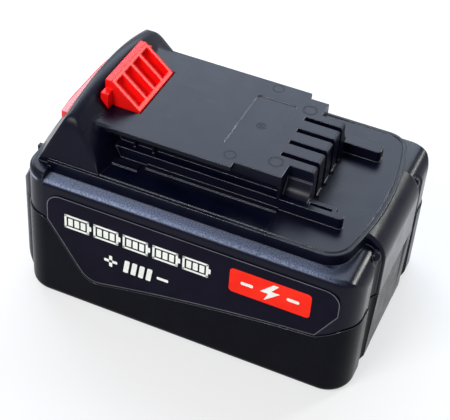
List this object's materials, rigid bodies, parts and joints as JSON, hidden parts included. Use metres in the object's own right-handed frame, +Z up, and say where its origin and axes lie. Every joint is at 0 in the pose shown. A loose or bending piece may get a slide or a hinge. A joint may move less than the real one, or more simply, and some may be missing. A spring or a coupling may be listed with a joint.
{
  "type": "power tool battery pack",
  "caption": "Slide-on rechargeable pack for cordless tools: black moulded housing with rail grooves, finned terminal block, red sprung latch hook and release button.",
  "frame": {"origin": "middle of the overall box at the base, under the middle of the cell block", "axes": "+X along the slide towards the terminal end, +Y away from the labelled side, +Z up"},
  "size_m": [0.118, 0.075, 0.0724],
  "materials": {
    "housing": "satin black",
    "latch": "satin red",
    "cell_wrap": "shrink film",
    "holder": "matt",
    "nickel": "bright strip",
    "contact_brass": "stamped",
    "spring_steel": "drawn wire",
    "screw_steel": "zinc plated",
    "insulator": "fibre sheet",
    "foam": "closed-cell foam",
    "board": "solder mask",
    "chip": "moulded",
    "shunt": "alloy strip",
    "label": "printed film"
  },
  "bodies": {
    "pack": {"upper_housing": "housing", "lower_housing": "housing", "latch_spring_near": "spring_steel", "latch_spring_far": "spring_steel", "cell_1": "cell_wrap", "cell_2": "cell_wrap", "cell_3": "cell_wrap", "cell_4": "cell_wrap", "cell_5": "cell_wrap", "cell_6": "cell_wrap", "cell_7": "cell_wrap", "cell_8": "cell_wrap", "cell_9": "cell_wrap", "cell_10": "cell_wrap", "cell_holder_near": "holder", "cell_holder_far": "holder", "strip_near_1": "nickel", "strip_near_2": "nickel", "strip_near_3": "nickel", "strip_far_1": "nickel", "strip_far_2": "nickel", "strip_far_3": "nickel", "insulator_near": "insulator", "insulator_far": "insulator", "foam_pads": "foam", "circuit_board": "board", "control_chip": "chip", "power_switches": "chip", "current_shunt": "shunt", "thermistor": "chip", "terminal_base": "holder", "contact_1": "contact_brass", "contact_2": "contact_brass", "contact_3": "contact_brass", "contact_4": "contact_brass", "board_screws": "screw_steel", "housing_screws": "screw_steel", "side_label": "label"},
    "latch": {"latch_hook": "latch", "release_button": "latch"}
  },
  "joints": [
    {"name": "latch_slide", "type": "slide", "parent": "pack", "child": "latch", "axis": [0, 0, -1], "range_m": [0, 0.005], "stiffness_N_per_m": 700, "springref_m": -0.004, "deforming": ["latch_spring_near", "latch_spring_far"]}
  ]
}
